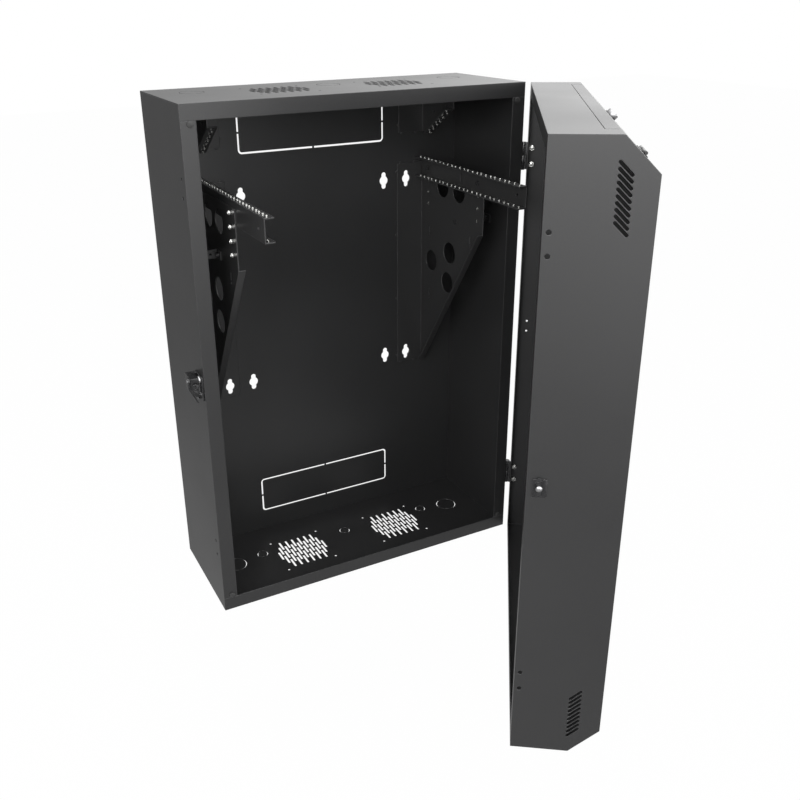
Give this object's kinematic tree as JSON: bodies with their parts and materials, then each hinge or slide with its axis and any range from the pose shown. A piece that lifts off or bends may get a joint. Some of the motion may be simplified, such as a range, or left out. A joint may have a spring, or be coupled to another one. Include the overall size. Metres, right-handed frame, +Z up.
{
  "type": "wall mount network cabinet",
  "caption": "Shallow wall cabinet for rack gear hung vertically, with a deep bevelled swing door, rails on gusset brackets, fan grilles, cable knockouts and a side latch.",
  "frame": {"origin": "centre of the pattern of wall holes, on the back face of the back panel", "axes": "+Z up, +Y into the wall, +X to the right seen from the front"},
  "size_m": [0.785, 0.8445, 0.935],
  "materials": {
    "cabinet_powder_coat": "satin black powder coat, fine texture",
    "bracket_powder_coat": "satin black powder coat",
    "zinc": "bright zinc plated steel",
    "black_screw": "black oxide, semi-gloss",
    "black_hardware": "black plated, semi-gloss",
    "chrome": "polished chrome",
    "bumper_rubber": "matte rubber"
  },
  "bodies": {
    "cabinet": {"back_panel": "cabinet_powder_coat", "top_panel": "cabinet_powder_coat", "bottom_panel": "cabinet_powder_coat", "side_panel_left": "cabinet_powder_coat", "side_panel_right": "cabinet_powder_coat", "bracket_left": "bracket_powder_coat", "bracket_right": "bracket_powder_coat", "clinch_nuts": "zinc", "rail_left": "bracket_powder_coat", "rail_right": "bracket_powder_coat", "rail_screws": "black_screw", "upper_bracket_left": "bracket_powder_coat", "upper_bracket_right": "bracket_powder_coat", "side_brace_left": "bracket_powder_coat", "side_brace_right": "bracket_powder_coat", "brace_bolts": "black_screw", "bumpers": "bumper_rubber", "hinge_upper_body_leaf": "black_hardware", "hinge_lower_body_leaf": "black_hardware", "hinge_pins": "black_screw", "body_hinge_bolts": "zinc", "body_hinge_nuts": "zinc", "latch_base": "black_hardware", "latch_screws": "black_screw"},
    "door": {"door_shell": "cabinet_powder_coat", "hinge_upper_door_leaf": "black_hardware", "hinge_lower_door_leaf": "black_hardware", "door_hinge_bolts": "zinc", "door_hinge_nuts": "zinc", "strike_plate": "black_hardware", "strike_stud": "chrome", "strike_screws": "black_screw", "hatch_door_leaves": "black_hardware", "hatch_pins": "black_screw"},
    "hatch": {"hatch_panel": "cabinet_powder_coat", "hatch_leaves": "black_hardware", "hatch_lock": "chrome"},
    "hatch_key": {"hatch_key_plug": "chrome", "hatch_cam": "chrome"},
    "latch": {"latch_shaft": "chrome", "latch_lever": "black_hardware", "latch_hook": "chrome"},
    "latch_lock": {"lock_cylinder": "black_hardware"}
  },
  "joints": [
    {"name": "door_swing", "type": "hinge", "parent": "cabinet", "child": "door", "pos_m": [0.3265, -0.232, -0.0765], "axis": [0, 0, 1], "range_deg": [-55.5, 114.5]},
    {"name": "latch_turn", "type": "hinge", "parent": "cabinet", "child": "latch", "pos_m": [-0.33, -0.224, -0.066], "axis": [1, 0, 0], "range_deg": [-90, 0]},
    {"name": "latch_lock_turn", "type": "hinge", "parent": "cabinet", "child": "latch_lock", "pos_m": [-0.3342, -0.23, -0.076], "axis": [0, -1, 0], "range_deg": [0, 90]},
    {"name": "hatch_swing", "type": "hinge", "parent": "door", "child": "hatch", "pos_m": [0.25436, -0.5786, 0.35196], "axis": [0.5664, 0.8241, 0], "range_deg": [0, 100]},
    {"name": "hatch_key_turn", "type": "hinge", "parent": "hatch", "child": "hatch_key", "pos_m": [0.23559, -0.5657, 0.37091], "axis": [0.5827, -0.4005, 0.7071], "range_deg": [0, 90]}
  ]
}
